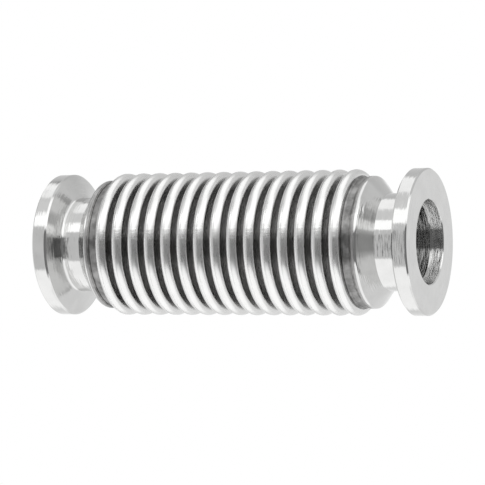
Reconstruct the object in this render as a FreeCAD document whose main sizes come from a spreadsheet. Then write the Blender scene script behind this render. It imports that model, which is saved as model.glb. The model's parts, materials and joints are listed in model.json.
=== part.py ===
"""Metal bellows expansion joint with a small-flange vacuum interface at each end.

Frame: millimetres, origin at the middle of the bellows, the pipe axis along X, +Z up.
Every piece is a body of revolution. Its half section is drawn in the body's XZ plane, with x along
the pipe axis and z as the radius, and is revolved about the sketch's horizontal axis:

* pieces of an end fitting are drawn with x measured inwards from the sealing face of the left end;
* pieces of the bellows are drawn with x measured from the crest of their convolution.

A piece that faces the other way is the same drawing, turned half a turn about Z.
"""
import FreeCAD, Part
import math
import os

import Sketcher

SIZES = {
    "face_to_face": 83.0,         # between the two sealing faces
    # flange, turned from bar
    "rim_radius": 15.0,
    "rim_width": 3.2,             # plain rim, from the sealing face to the clamp taper
    "rim_front_chamfer": 0.3,
    "rim_back_chamfer": 0.35,
    "clamp_taper": 15.0,          # degrees, between the back of the rim and a plane across the axis
    "neck_radius": 10.0,
    "neck_fillet": 0.6,           # between the clamp taper and the neck
    "neck_end": 8.5,              # from the sealing face to the start of the cone
    "recess_radius": 8.6,         # seat of the centring ring
    "recess_depth": 2.5,
    "recess_chamfer": 0.2,
    "bore_radius": 8.0,
    "bore_chamfer": 0.2,
    # weld in the bore, between the flange and the cone
    "bore_weld_leg": 0.5,
    "bore_weld_round": 1.3,
    # conical adapter
    "cone_slope": 52.0,           # degrees, between the wall and the pipe axis
    "cone_wall": 2.8,             # radial thickness of the sloping wall
    "lip_radius": 13.6,
    "lip_end": 12.3,              # from the sealing face to the shoulder that the cuff butts against
    "lip_round": 0.6,
    "lip_chamfer": 0.3,
    "spigot_inner_radius": 12.0,
    "spigot_length": 1.1,
    # weld between the lip and the cuff
    "seam_leg": 0.2,              # up the lip's chamfer
    "seam_run": 0.35,             # along the cuff
    "seam_round": 0.34,
    # formed bellows
    "pitch": 3.7,
    "crest_radius": 15.0,         # outside
    "root_radius": 10.0,          # inside
    "sheet": 0.2,                 # thickness
    "crest_bend": 1.275,          # outside radius of the bend at a crest
    "cuff_radius": 13.3,          # outside
    "cuff_fillet": 0.4,           # between the end wall and the cuff, on the outside
}
CONVOLUTIONS = 15
HALF_TURN = FreeCAD.Rotation(FreeCAD.Vector(0, 0, 1), 180)
NO_TURN = FreeCAD.Rotation()


class Size:
    """A number together with the sheet formula that gives it."""

    def __init__(self, value, formula=None):
        self.value = float(value)
        self.formula = formula or repr(float(value))

    def _with(self, other, sign, value):
        return Size(value, f"({self.formula} {sign} {other.formula})")

    def __add__(self, other):
        other = as_size(other)
        return self._with(other, "+", self.value + other.value)

    def __sub__(self, other):
        other = as_size(other)
        return self._with(other, "-", self.value - other.value)

    def __mul__(self, other):
        other = as_size(other)
        return self._with(other, "*", self.value * other.value)

    def __truediv__(self, other):
        other = as_size(other)
        return self._with(other, "/", self.value / other.value)

    def __rsub__(self, other):
        return as_size(other) - self


def as_size(number):
    return number if isinstance(number, Size) else Size(number)


def sine(angle):
    return Size(math.sin(math.radians(angle.value)), f"sin({angle.formula} * 1 deg)")


def cosine(angle):
    return Size(math.cos(math.radians(angle.value)), f"cos({angle.formula} * 1 deg)")


def make_sheet(doc):
    """Write the driving dimensions into the sheet and return them as Size values by name."""
    sheet = doc.addObject("Spreadsheet::Sheet", "sizes")
    for row, (name, value) in enumerate(SIZES.items(), start=1):
        sheet.set(f"A{row}", name)
        sheet.set(f"B{row}", str(value))
        sheet.setAlias(f"B{row}", name)
    doc.recompute()
    return {name: Size(value, f"sizes.{name}") for name, value in SIZES.items()}


def to(x, r):
    """A straight side of an outline, ending at axial place x and radius r."""
    return {"end": (as_size(x), as_size(r))}


def arc(x, r, radius, centre):
    """A round side of an outline, ending at x and r; centre says which side the arc bends to."""
    return {"end": (as_size(x), as_size(r)), "radius": as_size(radius),
            "centre": tuple(as_size(c).value for c in centre)}


def arc_edge(start, end, side):
    """The arc as a sketch edge, and which of its ends (1 or 2) the outline starts from."""
    centre = FreeCAD.Vector(*side["centre"], 0)
    a, b = start - centre, end - centre
    counterclockwise = a.cross(b).z > 0
    first, last = (a, b) if counterclockwise else (b, a)
    circle = Part.Circle(centre, FreeCAD.Vector(0, 0, 1), side["radius"].value)
    edge = Part.ArcOfCircle(circle, math.atan2(first.y, first.x), math.atan2(last.y, last.x))
    return edge, 1 if counterclockwise else 2


def bind(sketch, kind, references, size):
    """Add one measured constraint and tie it to the sheet."""
    index = sketch.addConstraint(Sketcher.Constraint(kind, *references, size.value))
    sketch.setExpression(f"Constraints[{index}]", size.formula)


def draw(sketch, outline):
    """Draw a closed outline: each side ends where the next one starts, and every corner is bound."""
    corners = [side["end"] for side in outline]
    points = [FreeCAD.Vector(x.value, r.value, 0) for x, r in corners]
    starts = []
    for i, side in enumerate(outline):
        edge, first = Part.LineSegment(points[i - 1], points[i]), 1
        if "radius" in side:
            edge, first = arc_edge(points[i - 1], points[i], side)
        sketch.addGeometry(edge, False)
        starts.append(first)
    for i, side in enumerate(outline):
        following = (i + 1) % len(outline)
        end = 3 - starts[i]
        sketch.addConstraint(Sketcher.Constraint("Coincident", i, end, following, starts[following]))
        x, r = corners[i]
        if x.value == 0:
            sketch.addConstraint(Sketcher.Constraint("PointOnObject", i, end, -2))
        else:
            bind(sketch, "DistanceX", (-1, 1, i, end), x)
        bind(sketch, "DistanceY", (-1, 1, i, end), r)
        if "radius" in side:
            bind(sketch, "Radius", (i,), side["radius"])


def ring(doc, name, outline, x, turn):
    """A body of revolution about the pipe axis, with the zero of its drawing at x."""
    body = doc.addObject("PartDesign::Body", name)
    body.Label = name
    sketch = body.newObject("Sketcher::SketchObject", name + "_section")
    plane = next(o for o in body.Origin.OriginFeatures if o.Role == "XZ_Plane")
    sketch.AttachmentSupport = [(plane, "")]
    sketch.MapMode = "FlatFace"
    draw(sketch, outline)
    revolution = body.newObject("PartDesign::Revolution", name + "_turned")
    revolution.Profile = sketch
    revolution.ReferenceAxis = (sketch, ["H_Axis"])
    revolution.Angle = 360
    body.Placement = FreeCAD.Placement(FreeCAD.Vector(), turn)
    body.setExpression("Placement.Base.x", x.formula)
    return body


def flange_outline(s):
    """Rim with a recess for the centring ring, a 15 degree clamp taper, a neck and the bore."""
    taper_sine, taper_cosine = sine(s["clamp_taper"]), cosine(s["clamp_taper"])
    taper_tip = s["rim_radius"] - s["rim_back_chamfer"]
    taper_foot = s["rim_width"] + (taper_tip - s["neck_radius"]) * taper_sine / taper_cosine
    # the round corner between taper and neck starts this far from where the two would meet
    reach = s["neck_fillet"] * (1 - taper_sine) / taper_cosine
    fillet_foot = taper_foot + reach
    mouth_r = s["recess_radius"] + s["recess_chamfer"]
    return [
        to(0, mouth_r),
        to(0, s["rim_radius"] - s["rim_front_chamfer"]),
        to(s["rim_front_chamfer"], s["rim_radius"]),
        to(s["rim_width"] - s["rim_back_chamfer"], s["rim_radius"]),
        to(s["rim_width"], taper_tip),
        to(taper_foot - reach * taper_sine, s["neck_radius"] + reach * taper_cosine),
        arc(fillet_foot, s["neck_radius"], s["neck_fillet"],
            (fillet_foot, s["neck_radius"] + s["neck_fillet"])),
        to(s["neck_end"], s["neck_radius"]),
        to(s["neck_end"], s["bore_radius"] + s["bore_weld_leg"]),
        to(s["neck_end"] - s["bore_weld_leg"], s["bore_radius"]),
        to(s["recess_depth"] + s["bore_chamfer"], s["bore_radius"]),
        to(s["recess_depth"], s["bore_radius"] + s["bore_chamfer"]),
        to(s["recess_depth"], s["recess_radius"]),
        to(s["recess_chamfer"], s["recess_radius"]),
    ]


def bore_weld_outline(s):
    """Fills the V between flange and cone, with a slightly crowned face in the bore."""
    leg, top = s["bore_weld_leg"], s["bore_radius"] + s["bore_weld_leg"]
    half_chord = leg.value
    depth = math.sqrt(s["bore_weld_round"].value ** 2 - half_chord ** 2)
    return [
        to(s["neck_end"], top),
        to(s["neck_end"] + leg, s["bore_radius"]),
        arc(s["neck_end"] - leg, s["bore_radius"], s["bore_weld_round"],
            (s["neck_end"], s["bore_radius"] + depth)),
    ]


def cone_outline(s):
    """Conical adapter: a sloping wall, a rounded lip, a shoulder for the cuff and a spigot inside it."""
    slope_sine, slope_cosine = sine(s["cone_slope"]), cosine(s["cone_slope"])
    run = slope_cosine / slope_sine     # axial length of the slope for each millimetre that it rises
    round_centre_r = s["lip_radius"] - s["lip_round"]
    cone_top_r = round_centre_r + s["lip_round"] * slope_cosine
    cone_top_x = s["neck_end"] + (cone_top_r - s["neck_radius"]) * run
    round_centre_x = cone_top_x + s["lip_round"] * slope_sine
    spigot_r = s["cuff_radius"] - s["sheet"]
    spigot_end = s["lip_end"] + s["spigot_length"]
    # the bore runs straight until the wall has its full thickness, then opens at the same slope
    opening = s["neck_end"] + (s["bore_radius"] + s["cone_wall"] - s["neck_radius"]) * run
    open_end = opening + (s["spigot_inner_radius"] - s["bore_radius"]) * run
    return [
        to(s["neck_end"], s["bore_radius"] + s["bore_weld_leg"]),
        to(s["neck_end"], s["neck_radius"]),
        to(cone_top_x, cone_top_r),
        arc(round_centre_x, s["lip_radius"], s["lip_round"], (round_centre_x, round_centre_r)),
        to(s["lip_end"] - s["lip_chamfer"], s["lip_radius"]),
        to(s["lip_end"], s["lip_radius"] - s["lip_chamfer"]),
        to(s["lip_end"], spigot_r),
        to(spigot_end, spigot_r),
        to(spigot_end, s["spigot_inner_radius"]),
        to(open_end, s["spigot_inner_radius"]),
        to(opening, s["bore_radius"]),
        to(s["neck_end"] + s["bore_weld_leg"], s["bore_radius"]),
    ]


def seam_weld_outline(s):
    """Bead in the corner between the lip's chamfer and the cuff, with a convex face."""
    foot_r = s["lip_radius"] - s["lip_chamfer"]
    top = (s["lip_end"] - s["seam_leg"], foot_r + s["seam_leg"])
    toe = (s["lip_end"] + s["seam_run"], foot_r)
    run, rise = toe[0].value - top[0].value, toe[1].value - top[1].value
    half_chord = math.hypot(run, rise) / 2
    depth = math.sqrt(s["seam_round"].value ** 2 - half_chord ** 2)
    centre = (top[0].value + run / 2 + rise / (2 * half_chord) * depth,
              top[1].value + rise / 2 - run / (2 * half_chord) * depth)
    return [
        to(s["lip_end"], foot_r),
        to(*top),
        arc(*toe, s["seam_round"], centre),
    ]


def crest_and_wall(s):
    """Sizes that the two kinds of bellows ring share."""
    outer_bend = s["crest_bend"] + 0
    inner_bend = s["crest_bend"] - s["sheet"]
    return outer_bend, inner_bend, s["crest_radius"] - outer_bend


def half_convolution_outline(s):
    """S-shaped wall from the crest, at x = 0, to the root, half a pitch further on."""
    outer_bend, inner_bend, crest_r = crest_and_wall(s)
    root_x = s["pitch"] / 2
    root_bend = root_x - inner_bend     # on the inside of the pipe
    root_r = s["root_radius"] + root_bend
    return [
        to(0, s["crest_radius"]),
        arc(outer_bend, crest_r, outer_bend, (0, crest_r)),
        to(outer_bend, root_r),
        arc(root_x, s["root_radius"] + s["sheet"], root_x - outer_bend, (root_x, root_r)),
        to(root_x, s["root_radius"]),
        arc(inner_bend, root_r, root_bend, (root_x, root_r)),
        to(inner_bend, crest_r),
        arc(0, s["crest_radius"] - s["sheet"], inner_bend, (0, crest_r)),
    ]


def cuff_outline(s):
    """Outer half of an end convolution: from the crest down to the cylindrical cuff."""
    outer_bend, inner_bend, crest_r = crest_and_wall(s)
    fillet_r = s["cuff_radius"] + s["cuff_fillet"]
    cuff_x = outer_bend + s["cuff_fillet"]
    inner_fillet = s["cuff_fillet"] + s["sheet"]
    cuff_end = s["face_to_face"] / 2 - s["lip_end"] - s["pitch"] * ((CONVOLUTIONS - 1) / 2)
    return [
        to(0, s["crest_radius"]),
        arc(outer_bend, crest_r, outer_bend, (0, crest_r)),
        to(outer_bend, fillet_r),
        arc(cuff_x, s["cuff_radius"], s["cuff_fillet"], (cuff_x, fillet_r)),
        to(cuff_end, s["cuff_radius"]),
        to(cuff_end, s["cuff_radius"] - s["sheet"]),
        to(cuff_x, s["cuff_radius"] - s["sheet"]),
        arc(inner_bend, fillet_r, inner_fillet, (cuff_x, fillet_r)),
        to(inner_bend, crest_r),
        arc(0, s["crest_radius"] - s["sheet"], inner_bend, (0, crest_r)),
    ]


def build_end_fittings(doc, s):
    """Both end fittings: the drawing of the left one, and the same turned for the right one."""
    pieces = {
        "flange": flange_outline(s),
        "bore_weld": bore_weld_outline(s),
        "end_cone": cone_outline(s),
        "seam_weld": seam_weld_outline(s),
    }
    half = s["face_to_face"] / 2
    bodies = []
    for name, outline in pieces.items():
        bodies.append(ring(doc, name + "_left", outline, 0 - half, NO_TURN))
        bodies.append(ring(doc, name + "_right", outline, half, HALF_TURN))
    return bodies


def build_bellows(doc, s):
    """Two half rings for each convolution; the first and the last of all carry the cuffs."""
    wall, cuff = half_convolution_outline(s), cuff_outline(s)
    bodies = []
    for number in range(1, CONVOLUTIONS + 1):
        crest = s["pitch"] * (number - (CONVOLUTIONS + 1) / 2)
        is_first, is_last = number == 1, number == CONVOLUTIONS
        left_name = "cuff_left" if is_first else f"convolution_{number:02d}_left"
        right_name = "cuff_right" if is_last else f"convolution_{number:02d}_right"
        bodies.append(ring(doc, left_name, cuff if is_first else wall, crest, HALF_TURN))
        bodies.append(ring(doc, right_name, cuff if is_last else wall, crest, NO_TURN))
    return bodies


def check(doc, bodies):
    """Stop before anything is written if an object failed or a solid is not whole."""
    for item in doc.Objects:
        if "Invalid" in item.State or "Error" in item.State:
            raise RuntimeError(f"{item.Label} failed: {item.State}")
    for body in bodies:
        shape = body.Shape
        if shape.isNull() or not shape.isValid() or len(shape.Solids) != 1:
            raise RuntimeError(f"{body.Label} is not one valid solid")


def main():
    doc = FreeCAD.newDocument("bellows_joint")
    sizes = make_sheet(doc)
    bodies = build_end_fittings(doc, sizes) + build_bellows(doc, sizes)
    doc.recompute()
    check(doc, bodies)
    os.makedirs("parts", exist_ok=True)
    for body in bodies:
        body.Shape.exportStep(f"parts/{body.Label}.step")
    print(len(bodies), "pieces,", round(sum(b.Shape.Volume for b in bodies), 1), "mm3")


main()
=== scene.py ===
"""Looks of the metal bellows expansion joint: turned end fittings, weld beads and the formed bellows.

Metres, in the frame of the design: the pipe axis along X, +Z up, the origin at the middle of the bellows.
"""

import json
import math

import bpy
import numpy as np
from mathutils import Euler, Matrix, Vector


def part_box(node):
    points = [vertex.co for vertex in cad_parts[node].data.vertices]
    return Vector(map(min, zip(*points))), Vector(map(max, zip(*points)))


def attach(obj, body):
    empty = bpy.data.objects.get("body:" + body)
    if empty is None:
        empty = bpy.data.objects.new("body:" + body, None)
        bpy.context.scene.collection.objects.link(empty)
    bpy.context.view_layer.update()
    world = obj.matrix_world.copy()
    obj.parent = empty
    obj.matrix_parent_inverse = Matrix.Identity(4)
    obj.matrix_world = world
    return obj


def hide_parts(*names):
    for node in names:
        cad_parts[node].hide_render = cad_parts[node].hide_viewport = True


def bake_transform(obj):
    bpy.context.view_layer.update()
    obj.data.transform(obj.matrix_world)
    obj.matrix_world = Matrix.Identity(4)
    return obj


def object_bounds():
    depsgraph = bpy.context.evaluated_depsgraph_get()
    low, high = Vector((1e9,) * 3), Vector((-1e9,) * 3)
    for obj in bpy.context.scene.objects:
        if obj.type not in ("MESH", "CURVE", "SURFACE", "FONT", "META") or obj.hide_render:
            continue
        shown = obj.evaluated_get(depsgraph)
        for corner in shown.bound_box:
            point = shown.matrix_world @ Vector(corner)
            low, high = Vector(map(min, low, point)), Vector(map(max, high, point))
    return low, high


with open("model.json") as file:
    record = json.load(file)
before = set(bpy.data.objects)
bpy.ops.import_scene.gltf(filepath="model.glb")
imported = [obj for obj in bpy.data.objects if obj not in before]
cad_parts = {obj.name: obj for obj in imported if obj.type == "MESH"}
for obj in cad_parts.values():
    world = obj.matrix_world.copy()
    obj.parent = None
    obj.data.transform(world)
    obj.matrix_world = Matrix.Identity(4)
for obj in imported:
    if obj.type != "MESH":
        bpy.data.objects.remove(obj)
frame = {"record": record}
cad_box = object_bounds()

MM = 0.001
AROUND = 256                    # steps round the pipe axis
SUPPORT = 0.03 * MM             # flat strip kept beside every rounded corner

# sizes that the frame gives
FACE_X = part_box("flange_right")[1].x
RIM_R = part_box("flange_right")[1].z
FIRST_CREST_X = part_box("convolution_01_right")[0].x
HALF_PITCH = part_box("convolution_01_right")[1].x - FIRST_CREST_X
CREST_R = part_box("convolution_08_left")[1].z
CUFF_END_X = -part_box("cuff_left")[0].x
CHAIN = list(frame["record"]["behaviour"]["bodies"])

# flange, as distance from the sealing face and radius
RIM_WIDTH = 3.2 * MM
RIM_FRONT = 0.3 * MM            # chamfer at the sealing face
RIM_BACK = 0.35 * MM            # chamfer at the clamp taper
CLAMP_TAPER = math.radians(15)
NECK_R = 10.0 * MM
NECK_END = 8.5 * MM
NECK_FILLET = 0.6 * MM
RECESS_R = 8.6 * MM
RECESS_DEPTH = 2.5 * MM
BORE_R = 8.0 * MM
EDGE = 0.2 * MM                 # chamfers of the recess and the bore
WELD_LEG = 0.5 * MM
# conical adapter
CONE_RUN = 1 / math.tan(math.radians(52))       # length along the axis for each unit that it rises
CONE_WALL = 2.8 * MM            # radial thickness
LIP_R = 13.6 * MM
LIP_ROUND = 0.6 * MM
LIP_END_ROUND = 0.28 * MM
LIP_END = FACE_X - CUFF_END_X
SPIGOT_R = 12.0 * MM
SPIGOT_END = LIP_END + 1.1 * MM
DULL_BAND = 0.55 * MM, 0.75 * MM        # from the lip's end: dull up to the first, clean past the second
# formed bellows
SHEET = 0.2 * MM
ROOT_R = 10.0 * MM
CUFF_R = 13.3 * MM
CUFF_FILLET = 0.4 * MM
OUTER_BEND = 1.275 * MM         # of a crest
INNER_BEND = OUTER_BEND - SHEET
WALL_MID_R = (CREST_R + ROOT_R) / 2
END_WALL_R = (CREST_R - OUTER_BEND + CUFF_R + CUFF_FILLET) / 2
# weld beads: distance from the sealing face, radius of the ring, radius of the bead, ripples round it
BORE_BEAD = NECK_END, BORE_R + 0.32 * MM, 0.36 * MM, 120
SEAM_BEAD = LIP_END + 0.05 * MM, CUFF_R - 0.02 * MM, 0.27 * MM, 220


# ---------------------------------------------------------------- shapes

def rounded(corners, step=math.radians(7.5)):
    """Outline of a closed polygon of (x, r, fillet) corners.

    A fillet of radius f at a corner whose sides turn by angle t starts f * tan(t / 2) before the
    corner and follows its arc in equal steps. A straight side gets a support point beside each fillet,
    so that its shading stays flat.
    """
    points = []
    corners = [np.array(c, float) for c in corners]
    for i, corner in enumerate(corners):
        before, after = corners[i - 1][:2] - corner[:2], corners[(i + 1) % len(corners)][:2] - corner[:2]
        before, after = before / np.linalg.norm(before), after / np.linalg.norm(after)
        fillet = corner[2]
        if fillet == 0:
            points.append(corner[:2])
            continue
        turn = math.pi - math.acos(np.clip(before @ after, -1, 1))
        reach = fillet * math.tan(turn / 2)
        start, end = corner[:2] + before * reach, corner[:2] + after * reach
        inward = (before + after) / np.linalg.norm(before + after)
        centre = corner[:2] + inward * fillet / math.cos(turn / 2)
        count = max(2, math.ceil(turn / step))
        share = np.linspace(0, 1, count + 1)[:, None]
        a, b = start - centre, end - centre
        bend = (a * np.sin((1 - share) * turn) + b * np.sin(share * turn)) / math.sin(turn)
        support = SUPPORT if reach > SUPPORT else reach / 2
        points += [start + before * support, *(centre + bend), end + after * support]
    return np.array(points)


def circle(x, r, radius, steps=24):
    """Round outline about (x, r)."""
    a = np.linspace(0, 2 * math.pi, steps, endpoint=False)
    return np.stack([x + radius * np.cos(a), r + radius * np.sin(a)], 1)


def lathe(name, outline, swell=None):
    """Surface of revolution: point (x, r) of the outline, at angle a, is (x, r cos a, r sin a).

    swell(a) is how far the surface stands out from the outline, along the outline's own normal, at
    angle a. The attribute "turned" holds (cos a, sin a, length along the outline in millimetres), so
    that marks of the tool can run round the axis without a seam, and "radius" holds r in millimetres.
    """
    x, r = outline.T
    if np.sum(x * np.roll(r, -1) - np.roll(x, -1) * r) < 0:
        outline = outline[::-1]
        x, r = outline.T
    along = np.roll(outline, -1, 0) - np.roll(outline, 1, 0)
    normal = np.stack([along[:, 1], -along[:, 0]], 1) / np.linalg.norm(along, axis=1)[:, None]
    steps = np.linalg.norm(outline - np.roll(outline, 1, 0), axis=1)
    steps[0] = 0
    length = np.cumsum(steps) / MM
    angle = np.linspace(0, 2 * math.pi, AROUND, endpoint=False)[:, None]
    out = swell(angle) if swell else np.zeros((AROUND, 1))
    px, pr = x + out * normal[:, 0], r + out * normal[:, 1]
    vertices = np.stack([px, pr * np.cos(angle), pr * np.sin(angle)], 2).reshape(-1, 3)
    i, j = np.meshgrid(np.arange(AROUND), np.arange(len(x)), indexing="ij")
    i2, j2 = (i + 1) % AROUND, (j + 1) % len(x)
    n = len(x)
    faces = np.stack([i * n + j, i * n + j2, i2 * n + j2, i2 * n + j], 2).reshape(-1, 4)
    mesh = bpy.data.meshes.new(name)
    mesh.from_pydata(vertices.tolist(), [], faces.tolist())
    mesh.shade_smooth()
    mesh.set_sharp_from_angle(angle=math.radians(30))
    turned = np.stack(np.broadcast_arrays(np.cos(angle), np.sin(angle), length), 2)
    attribute = mesh.attributes.new("turned", "FLOAT_VECTOR", "POINT")
    attribute.data.foreach_set("vector", turned.astype(np.float32).ravel())
    attribute = mesh.attributes.new("radius", "FLOAT", "POINT")
    attribute.data.foreach_set("value", (np.tile(r, AROUND) / MM).astype(np.float32))
    piece = bpy.data.objects.new(name, mesh)
    bpy.context.scene.collection.objects.link(piece)
    return piece


def end_place(side, outline):
    """Put an outline drawn inwards from the sealing face on the left or the right end."""
    sign = 1 if side == "right" else -1
    return outline * [-sign, 1] + [sign * FACE_X, 0]


# ---------------------------------------------------------------- shader maths

class Value:
    """An output of a node. Arithmetic on it adds Math nodes."""

    def __init__(self, shader, socket):
        self.shader, self.socket = shader, socket

    def math(self, operation, *others):
        return self.shader.node("ShaderNodeMath", {"operation": operation}, [self, *others])

    def __add__(self, other):
        return self.math("ADD", other)

    def __mul__(self, other):
        return self.math("MULTIPLY", other)

    def __sub__(self, other):
        return self.math("SUBTRACT", other)

    def __rsub__(self, other):
        return self.shader.node("ShaderNodeMath", {"operation": "SUBTRACT"}, [other, self])

    __radd__, __rmul__ = __add__, __mul__

    def step(self, low, high):
        """0 below low, 1 above high, smooth between."""
        return self.shader.node("ShaderNodeMapRange", {"interpolation_type": "SMOOTHSTEP"},
                                [self, low, high, 0.0, 1.0])

    def band(self, low, high, soft):
        """1 between low and high, falling to 0 within soft on either side."""
        return self.step(low - soft, low) * (1 - self.step(high, high + soft))


class Shader:
    """A node tree under construction."""

    def __init__(self, tree):
        self.tree = tree

    def node(self, kind, settings, inputs, output=0):
        """Add a node: its settings first, then the values or links of its sockets."""
        node = self.tree.nodes.new(kind)
        for name, value in settings.items():
            setattr(node, name, value)
        pairs = inputs.items() if isinstance(inputs, dict) else enumerate(inputs)
        for key, value in pairs:
            if isinstance(value, Value):
                self.tree.links.new(value.socket, node.inputs[key])
            else:
                node.inputs[key].default_value = value
        return Value(self, node.outputs[output]) if node.outputs else None

    def mix(self, factor, a, b):
        """Colour a where factor is 0, colour b where it is 1."""
        colour = [c if isinstance(c, Value) else (*c, 1.0) for c in (a, b)]
        return self.node("ShaderNodeMix", {"data_type": "RGBA"}, {0: factor, 6: colour[0], 7: colour[1]}, 2)

    def split(self, vector):
        node = self.node("ShaderNodeSeparateXYZ", {}, [vector]).socket.node
        return [Value(self, o) for o in node.outputs]

    def vector(self, operation, *inputs):
        return self.node("ShaderNodeVectorMath", {"operation": operation}, list(inputs))

    def scale(self, vector, factors):
        return self.vector("MULTIPLY", vector, factors)

    def noise(self, vector, scale, detail=2.0, roughness=0.5):
        return self.node("ShaderNodeTexNoise", {},
                         {"Vector": vector, "Scale": scale, "Detail": detail, "Roughness": roughness})


class Steel(Shader):
    """Bare stainless steel: a principled surface with the marks of how the piece was made.

    turned is (cos a, sin a, length in mm), radius is in mm and place is in metres.
    """

    def __init__(self, name):
        self.material = bpy.data.materials.new(name)
        self.material.use_nodes = True
        super().__init__(self.material.node_tree)
        self.tree.nodes.clear()
        self.turned = self.node("ShaderNodeAttribute", {"attribute_name": "turned"}, {}, 1)
        self.radius = self.node("ShaderNodeAttribute", {"attribute_name": "radius"}, {}, 2)
        self.place = self.node("ShaderNodeTexCoord", {}, {}, 3)

    def marks(self, round_axis, along, detail=2.0):
        """Noise stretched round the axis: along is marks to a millimetre, round_axis marks to a radian."""
        return self.noise(self.scale(self.turned, (round_axis, round_axis, along)), 1.0, detail, 0.6)

    def brushed(self, tilt, normal):
        """Normal tipped along the outline by tilt, so that a reflection spreads across the tool marks.

        The way along the outline is the cross product of the way round the axis and the normal. The
        transform runs from world to object, so the way round is right only while the piece isn't turned.
        """
        cosine, sine, _ = self.split(self.turned)
        around = self.node("ShaderNodeCombineXYZ", {}, [0.0, sine * -1, cosine])
        around = self.node("ShaderNodeVectorTransform", {"vector_type": "VECTOR"}, [around])
        along = self.vector("CROSS_PRODUCT", around, normal)
        return self.vector("NORMALIZE", self.vector("ADD", normal, self.vector("MULTIPLY", along, tilt)))

    def bump(self, height, distance):
        return self.node("ShaderNodeBump", {}, {"Strength": 1.0, "Distance": distance * MM, "Height": height})

    def finish(self, colour, roughness, normal):
        surface = self.node("ShaderNodeBsdfPrincipled", {},
                            {"Base Color": colour, "Metallic": 1.0, "Roughness": roughness, "Normal": normal})
        self.node("ShaderNodeOutputMaterial", {}, [surface])
        return self.material


def turned_steel():
    """Flange: bright fine turning, stronger on the walls of the recess and the bore, and the bore's colour
    painted darker as painted shade inside the pipe.
    """
    s = Steel("turned_steel")
    facing_x, _, _ = s.split(s.node("ShaderNodeNewGeometry", {}, {}, 1))
    inside = (1 - s.radius.step(8.75, 8.95)) * (1 - facing_x.math("ABSOLUTE").step(0.5, 0.7))
    tilt = (s.marks(3.0, 9.0) - 0.5) * 0.5 + (s.marks(2.0, 30.0, 1.0) - 0.5) * inside * 4.5
    clouds = s.noise(s.place, 300.0, 3.0)
    dents = s.noise(s.place, 900.0, 2.0)
    colour = s.mix(clouds.step(0.3, 0.7), (0.58, 0.58, 0.575), (0.62, 0.62, 0.615))
    # painted shade: the bore's colour is darkened below a radius of about 8 mm, where shade falls inside the
    # pipe
    colour = s.mix(1 - s.radius.step(8.05, 8.25), colour, (0.36, 0.36, 0.355))
    normal = s.brushed(tilt, s.bump(dents, 0.006))
    return s.finish(colour, 0.09 + (clouds - 0.5) * 0.08, normal)


def cone_steel():
    """Conical adapter: turned slope, and a dull brushed band beside the weld."""
    s = Steel("cone_steel")
    x, _, _ = s.split(s.place)
    lip_x = FACE_X - LIP_END
    band = 1 - x.math("ABSOLUTE").step(lip_x + DULL_BAND[0], lip_x + DULL_BAND[1])
    clouds = s.noise(s.place, 300.0, 3.0)
    grit = s.noise(s.place, 1800.0, 3.0)
    tilt = (s.marks(3.0, 9.0) - 0.5) * 0.5
    colour = s.mix(clouds.step(0.3, 0.7), (0.58, 0.58, 0.575), (0.62, 0.62, 0.615))
    colour = s.mix(band, colour, s.mix(grit, (0.22, 0.218, 0.215), (0.42, 0.417, 0.414)))
    normal = s.brushed(tilt, s.bump(grit * band + clouds * 0.3, 0.02))
    return s.finish(colour, 0.09 + (clouds - 0.5) * 0.08 + band * 0.24, normal)


def cuff_steel():
    """Cuff: sheet brushed dull and dark beside the weld, with a few pits."""
    s = Steel("cuff_steel")
    clouds = s.noise(s.place, 420.0, 4.0, 0.6)
    pits = s.noise(s.place, 1300.0, 2.0).step(0.70, 0.76)
    brushing = s.marks(6.0, 7.0)
    colour = s.mix(clouds.step(0.3, 0.7), (0.13, 0.129, 0.127), (0.31, 0.308, 0.305))
    colour = s.mix(pits, colour, (0.04, 0.038, 0.036))
    normal = s.brushed((brushing - 0.5) * 0.6, s.bump(clouds - pits * 0.8, 0.03))
    return s.finish(colour, 0.32 + (brushing - 0.5) * 0.2, normal)


def formed_steel():
    """Bellows: the sheet's colour is painted darker from the crests down to the roots, as painted shade deep
    between them.

    A narrow band of fine cross marks along the front stands for the seam of the tube.
    """
    s = Steel("formed_steel")
    clouds = s.noise(s.place, 260.0, 3.0)
    drawing = s.marks(4.0, 5.0)
    cosine, sine, _ = s.split(s.turned)
    seam = sine.band(0.06, 0.20, 0.03) * (1 - cosine.step(-0.1, 0.0))
    crossing = s.noise(s.scale(s.turned, (70.0, 70.0, 0.4)), 1.0, 1.0)
    colour = s.mix(clouds.step(0.3, 0.7), (0.69, 0.69, 0.685), (0.73, 0.73, 0.725))
    # painted shade: the colour falls from the crests to a dark grey at the roots, where shade falls between
    # the convolutions
    colour = s.mix(s.radius.step(11.4, 14.2), (0.45, 0.448, 0.445), colour)
    normal = s.brushed((drawing - 0.5) * 0.16, s.bump(drawing * 0.2 + crossing * (0.2 + seam * 2.5), 0.01))
    return s.finish(colour, 0.28 + (clouds - 0.5) * 0.10 + (drawing - 0.5) * 0.10, normal)


def weld_metal():
    """Weld bead: dull and finely uneven, its colour dark partly as weld metal and partly as painted shade of
    the gap beside the lip.
    """
    s = Steel("weld_metal")
    clouds = s.noise(s.place, 700.0, 3.0)
    # partly painted shade: the weld colour is set darker than the metal's own, standing for the shade in the
    # gap beside the lip
    colour = s.mix(clouds.step(0.3, 0.7), (0.12, 0.118, 0.115), (0.28, 0.277, 0.272))
    return s.finish(colour, 0.36 + (clouds - 0.5) * 0.2, s.bump(clouds, 0.02))


# ---------------------------------------------------------------- pieces

def finish_piece(piece, material, node=None, body=None):
    piece.data.materials.append(material)
    if body:
        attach(piece, body)
    if node:
        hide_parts(node)
    return piece


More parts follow.
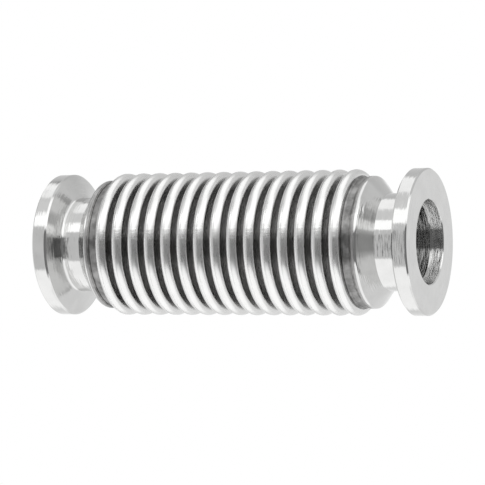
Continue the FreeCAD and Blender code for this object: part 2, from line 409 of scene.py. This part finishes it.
def flange(side, material):
    """Rim, clamp taper, neck, bore and recess, every edge broken by a small radius."""
    taper_foot = RIM_WIDTH + (RIM_R - RIM_BACK - NECK_R) * math.tan(CLAMP_TAPER)
    corners = [
        (0, RECESS_R + EDGE, 0.03 * MM),
        (0, RIM_R - RIM_FRONT, 0.05 * MM),
        (RIM_FRONT, RIM_R, 0.05 * MM),
        (RIM_WIDTH - RIM_BACK, RIM_R, 0.05 * MM),
        (RIM_WIDTH, RIM_R - RIM_BACK, 0.05 * MM),
        (taper_foot, NECK_R, NECK_FILLET),
        (NECK_END, NECK_R, 0),
        (NECK_END, BORE_R + WELD_LEG, 0),
        (NECK_END - WELD_LEG, BORE_R, 0.05 * MM),
        (RECESS_DEPTH + EDGE, BORE_R, 0.04 * MM),
        (RECESS_DEPTH, BORE_R + EDGE, 0.03 * MM),
        (RECESS_DEPTH, RECESS_R, 0.06 * MM),
        (EDGE, RECESS_R, 0.03 * MM),
    ]
    piece = lathe(f"turned_flange_{side}", end_place(side, rounded(corners)))
    return finish_piece(piece, material, f"flange_{side}", f"{side}_end")


def end_cone(side, material):
    """Cone with a rounded lip, and the spigot that the cuff sits on."""
    opening = NECK_END + (BORE_R + CONE_WALL - NECK_R) * CONE_RUN
    corners = [
        (NECK_END, BORE_R + WELD_LEG, 0),
        (NECK_END, NECK_R, 0),
        (NECK_END + (LIP_R - NECK_R) * CONE_RUN, LIP_R, LIP_ROUND),
        (LIP_END, LIP_R, LIP_END_ROUND),
        (LIP_END, CUFF_R - SHEET, 0),
        (SPIGOT_END, CUFF_R - SHEET, 0),
        (SPIGOT_END, SPIGOT_R, 0.1 * MM),
        (opening + (SPIGOT_R - BORE_R) * CONE_RUN, SPIGOT_R, 0.3 * MM),
        (opening, BORE_R, 0.1 * MM),
        (NECK_END + WELD_LEG, BORE_R, 0),
    ]
    piece = lathe(f"weld_cone_{side}", end_place(side, rounded(corners)))
    return finish_piece(piece, material, f"end_cone_{side}", f"{side}_end")


def bead(kind, side, x, r, radius, ripples, material):
    """Weld bead: a ring whose skin rises and falls with each puddle and wanders slowly."""
    def swell(angle):
        puddle = 0.05 * np.abs(np.sin(angle * ripples / 2))
        wander = 0.10 * np.sin(3 * angle + 1.3) * np.sin(7 * angle) + 0.05 * np.sin(17 * angle + 0.4)
        return radius * (puddle + wander)
    piece = lathe(f"{kind}_bead_{side}", end_place(side, circle(x, r, radius)), swell)
    return finish_piece(piece, material, f"{kind}_{side}", f"{side}_end")


def cuff(side, material):
    """Foot of the end wall, its fillet and the cylindrical cuff that is welded to the lip."""
    sign = 1 if side == "right" else -1
    end = CUFF_END_X + FIRST_CREST_X
    corners = [
        (OUTER_BEND, END_WALL_R, 0),
        (OUTER_BEND, CUFF_R, CUFF_FILLET),
        (end, CUFF_R, 0),
        (end, CUFF_R - SHEET, 0),
        (INNER_BEND, CUFF_R - SHEET, CUFF_FILLET + SHEET),
        (INNER_BEND, END_WALL_R, 0),
    ]
    outline = rounded(corners) * [sign, 1] + [-sign * FIRST_CREST_X, 0]
    piece = lathe(f"bellows_cuff_{side}", outline)
    return finish_piece(piece, material, f"cuff_{side}", f"{side}_end")


def bellows_fold(index, material):
    """One bend of the sheet, crest or root, from the middle of one wall to the middle of the next.

    Odd folds are crests and even ones roots.
    """
    x = FIRST_CREST_X + (index - 1) * HALF_PITCH
    last = len(CHAIN) - 1
    left_r = END_WALL_R if index == 1 else WALL_MID_R
    right_r = END_WALL_R if index == last else WALL_MID_R
    if index % 2:
        far, near, far_bend, near_bend = CREST_R, CREST_R - SHEET, OUTER_BEND, INNER_BEND
    else:
        far, near = ROOT_R, ROOT_R + SHEET
        far_bend, near_bend = HALF_PITCH - INNER_BEND, HALF_PITCH - OUTER_BEND
    corners = [
        (x - far_bend, left_r, 0),
        (x - far_bend, far, far_bend),
        (x + far_bend, far, far_bend),
        (x + far_bend, right_r, 0),
        (x + near_bend, right_r, 0),
        (x + near_bend, near, near_bend),
        (x - near_bend, near, near_bend),
        (x - near_bend, left_r, 0),
    ]
    kind = "crest" if index % 2 else "root"
    piece = lathe(f"bellows_{kind}_{(index + 1) // 2:02d}", rounded(corners))
    finish_piece(piece, material)
    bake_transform(piece)
    if index < last:
        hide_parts(frame["record"]["behaviour"]["bodies"][CHAIN[index]][0])
    return piece


# ---------------------------------------------------------------- studio

def studio_world():
    """Light tent with grey and black cards, whose edges the turned faces mirror.

    Elevation is in degrees above the horizon, and azimuth in degrees from the front, -Y, towards +X,
    or from behind, +Y, towards -X. Each card is (measure of azimuth, level, azimuth from, to, softness,
    elevation from, to, softness).
    """
    world = bpy.data.worlds.new("light_tent")
    bpy.context.scene.world = world
    world.use_nodes = True
    tree = world.node_tree
    tree.nodes.clear()
    s = Shader(tree)
    x, y, z = s.split(s.node("ShaderNodeTexCoord", {}, {}, 0))
    elevation = z.math("ARCSINE") * (180 / math.pi)
    front = x.math("ARCTAN2", y * -1) * (180 / math.pi)
    back = (x * -1).math("ARCTAN2", y) * (180 / math.pi)
    cards = [
        (back, 0.95, -80, 80, 12, -40, 10, 12),
        (back, 0.72, -35, 35, 10, 15, 50, 8),
        (back, 0.40, 42, 75, 8, 10, 45, 8),
        (back, 0.80, -80, -35, 10, 0, 50, 10),
        (front, 0.58, -110, -65, 10, 12, 52, 8),
        (front, 0.88, -65, -40, 10, -20, 50, 8),
        (front, 0.80, -45, -12, 10, -34, 26, 4),
        (front, 0.95, -75, -25, 8, 50, 68, 5),
        (front, 1.70, -40, 95, 8, 29, 47, 3),
        (front, 1.70, -8, 95, 6, 22, 30, 3),
        (front, 1.90, -64, -42, 5, 24, 38, 4),
        (front, 0.60, -64, -42, 6, -14, 12, 6),
        (front, 0.24, -14, 92, 5, -31, 15, 4),
        (front, 2.00, 88, 115, 5, 12, 26, 4),
        (front, 0.24, 85, 112, 5, -12, 8, 3),
    ]
    light = 1.4                     # level of the tent between the cards
    for azimuth, level, west, east, side_soft, low, high, soft in cards:
        card = azimuth.band(west, east, side_soft) * elevation.band(low, high, soft)
        light = light + (level - light) * card
    camera = s.node("ShaderNodeLightPath", {}, {}, 0)
    level = camera + (1 - camera) * light
    background = s.node("ShaderNodeBackground", {}, {"Color": (1.0, 1.0, 1.0, 1.0), "Strength": level})
    s.node("ShaderNodeOutputWorld", {}, [background])


def studio_floor():
    """White floor, lit evenly so that it has no horizon, low enough to stay clear of a bent bellows."""
    size, drop = 2.0, 60 * MM
    height = cad_box[0].z - drop
    mesh = bpy.data.meshes.new("floor")
    corners = [(-size, -size, height), (size, -size, height), (size, size, height), (-size, size, height)]
    mesh.from_pydata(corners, [], [(0, 1, 2, 3)])
    floor = bpy.data.objects.new("floor", mesh)
    bpy.context.scene.collection.objects.link(floor)
    material = bpy.data.materials.new("white_floor")
    material.use_nodes = True
    material.node_tree.nodes.clear()
    s = Shader(material.node_tree)
    glow = s.node("ShaderNodeEmission", {}, {"Color": (1.0, 1.0, 1.0, 1.0), "Strength": 1.0})
    s.node("ShaderNodeOutputMaterial", {}, [glow])
    mesh.materials.append(material)
    floor.visible_glossy = False


def camera():
    """Long lens, level with the pipe axis and 23 degrees round towards the right end."""
    data = bpy.data.cameras.new("camera")
    view = bpy.data.objects.new("camera", data)
    bpy.context.scene.collection.objects.link(view)
    distance, turn, roll = 0.519, math.radians(23.0), math.radians(0.44)
    view.location = (distance * math.sin(turn), -distance * math.cos(turn), 0)
    level, tilted = Euler((math.pi / 2, 0, turn)).to_matrix(), Euler((0, 0, -roll)).to_matrix()
    view.rotation_euler = (level @ tilted).to_euler()
    data.sensor_width = 36.0
    data.lens = 184.4
    data.shift_x, data.shift_y = 0.0022, 0.0017
    bpy.context.scene.camera = view


def main():
    bpy.context.scene.view_settings.view_transform = "Standard"
    turned, cone, sheet = turned_steel(), cone_steel(), formed_steel()
    worn, welded = cuff_steel(), weld_metal()
    for side in ("left", "right"):
        flange(side, turned)
        end_cone(side, cone)
        bead("bore_weld", side, *BORE_BEAD, welded)
        bead("seam_weld", side, *SEAM_BEAD, welded)
        cuff(side, worn)
    for index in range(1, len(CHAIN)):
        bellows_fold(index, sheet)
    studio_world()
    studio_floor()
    camera()


main()
